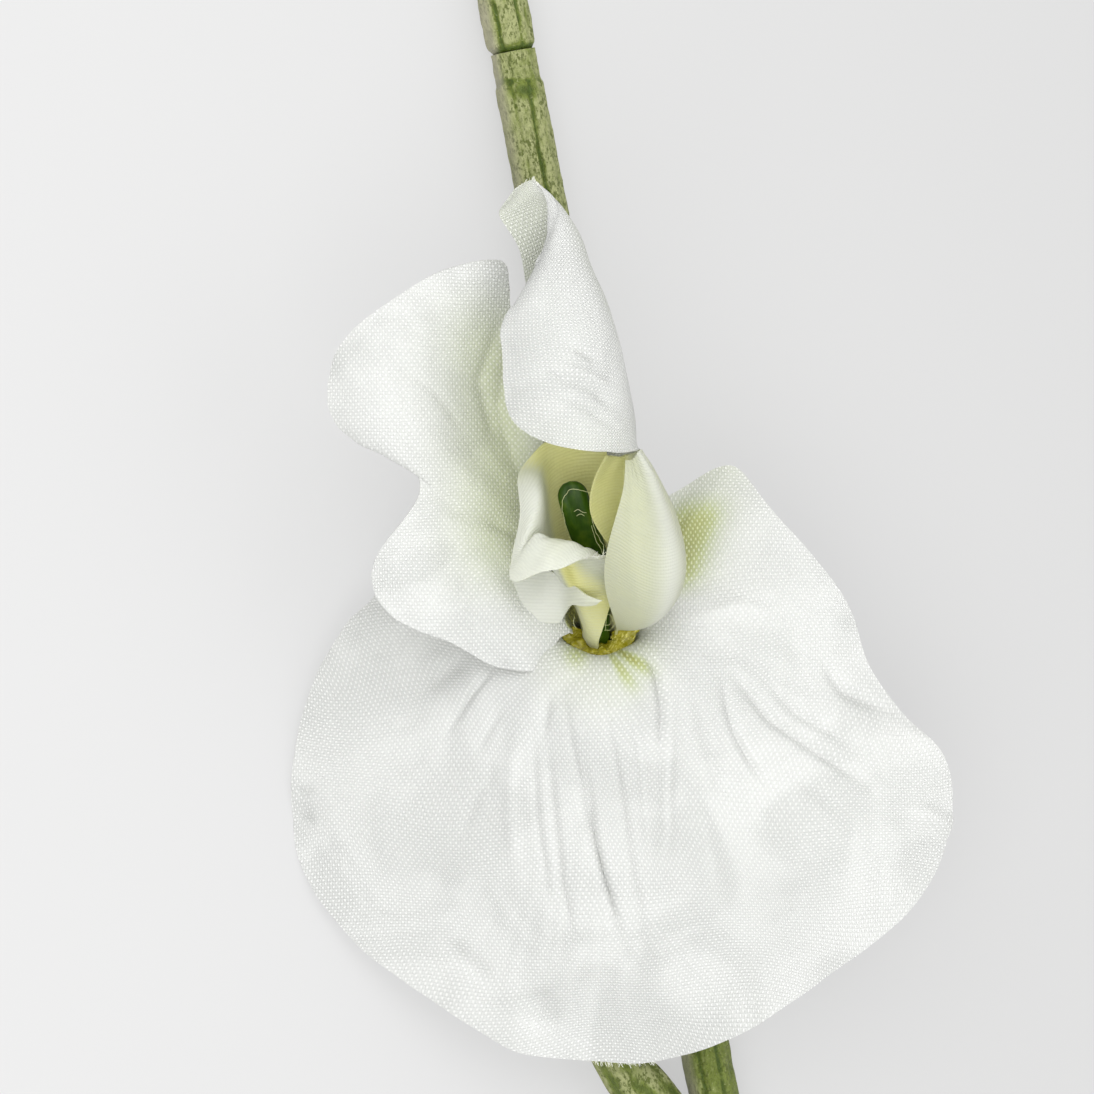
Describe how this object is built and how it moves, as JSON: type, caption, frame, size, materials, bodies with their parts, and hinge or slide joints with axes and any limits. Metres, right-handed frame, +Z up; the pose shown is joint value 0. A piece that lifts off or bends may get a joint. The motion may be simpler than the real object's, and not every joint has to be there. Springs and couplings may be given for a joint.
{
  "type": "artificial sweet pea flower",
  "caption": "Woven fabric sweet pea bloom with a broad banner petal, curled wings and cupped keels on a green stalk and stem, lying face up.",
  "frame": {"origin": "on the surface it lies on, under the middle of the part", "axes": "+Y along the stem towards its upper end, +Z up from the surface, +X to the right of a viewer who looks down on the flower's face"},
  "size_m": [0.0486, 0.1032, 0.024],
  "materials": {
    "banner_petal": "white satin-sheen plain weave",
    "wing_petal_left": "white plain weave with a pale green valley",
    "wing_petal_right": "white satin-sheen plain weave",
    "keel_petal_left": "cream to yellow-green plain weave",
    "keel_petal_right": "cream-green plain weave",
    "flower_core": "dark green moulded plastic",
    "throat_glue": "set hot glue, amber",
    "calyx": "green moulded plastic, dusty paint",
    "pedicel": "green moulded plastic, dusty paint",
    "stem_lower": "green moulded plastic, dusty grey-green paint",
    "stem_upper": "green moulded plastic, dusty grey-green paint",
    "stem_wire": "drawn steel wire, cut ends"
  },
  "bodies": {
    "root": {"banner_petal": "banner_petal", "wing_petal_left": "wing_petal_left", "wing_petal_right": "wing_petal_right", "keel_petal_left": "keel_petal_left", "keel_petal_right": "keel_petal_right", "flower_core": "flower_core", "throat_glue": "throat_glue", "calyx": "calyx", "pedicel": "pedicel", "stem_lower": "stem_lower", "stem_upper": "stem_upper", "stem_wire": "stem_wire"}
  },
  "joints": []
}
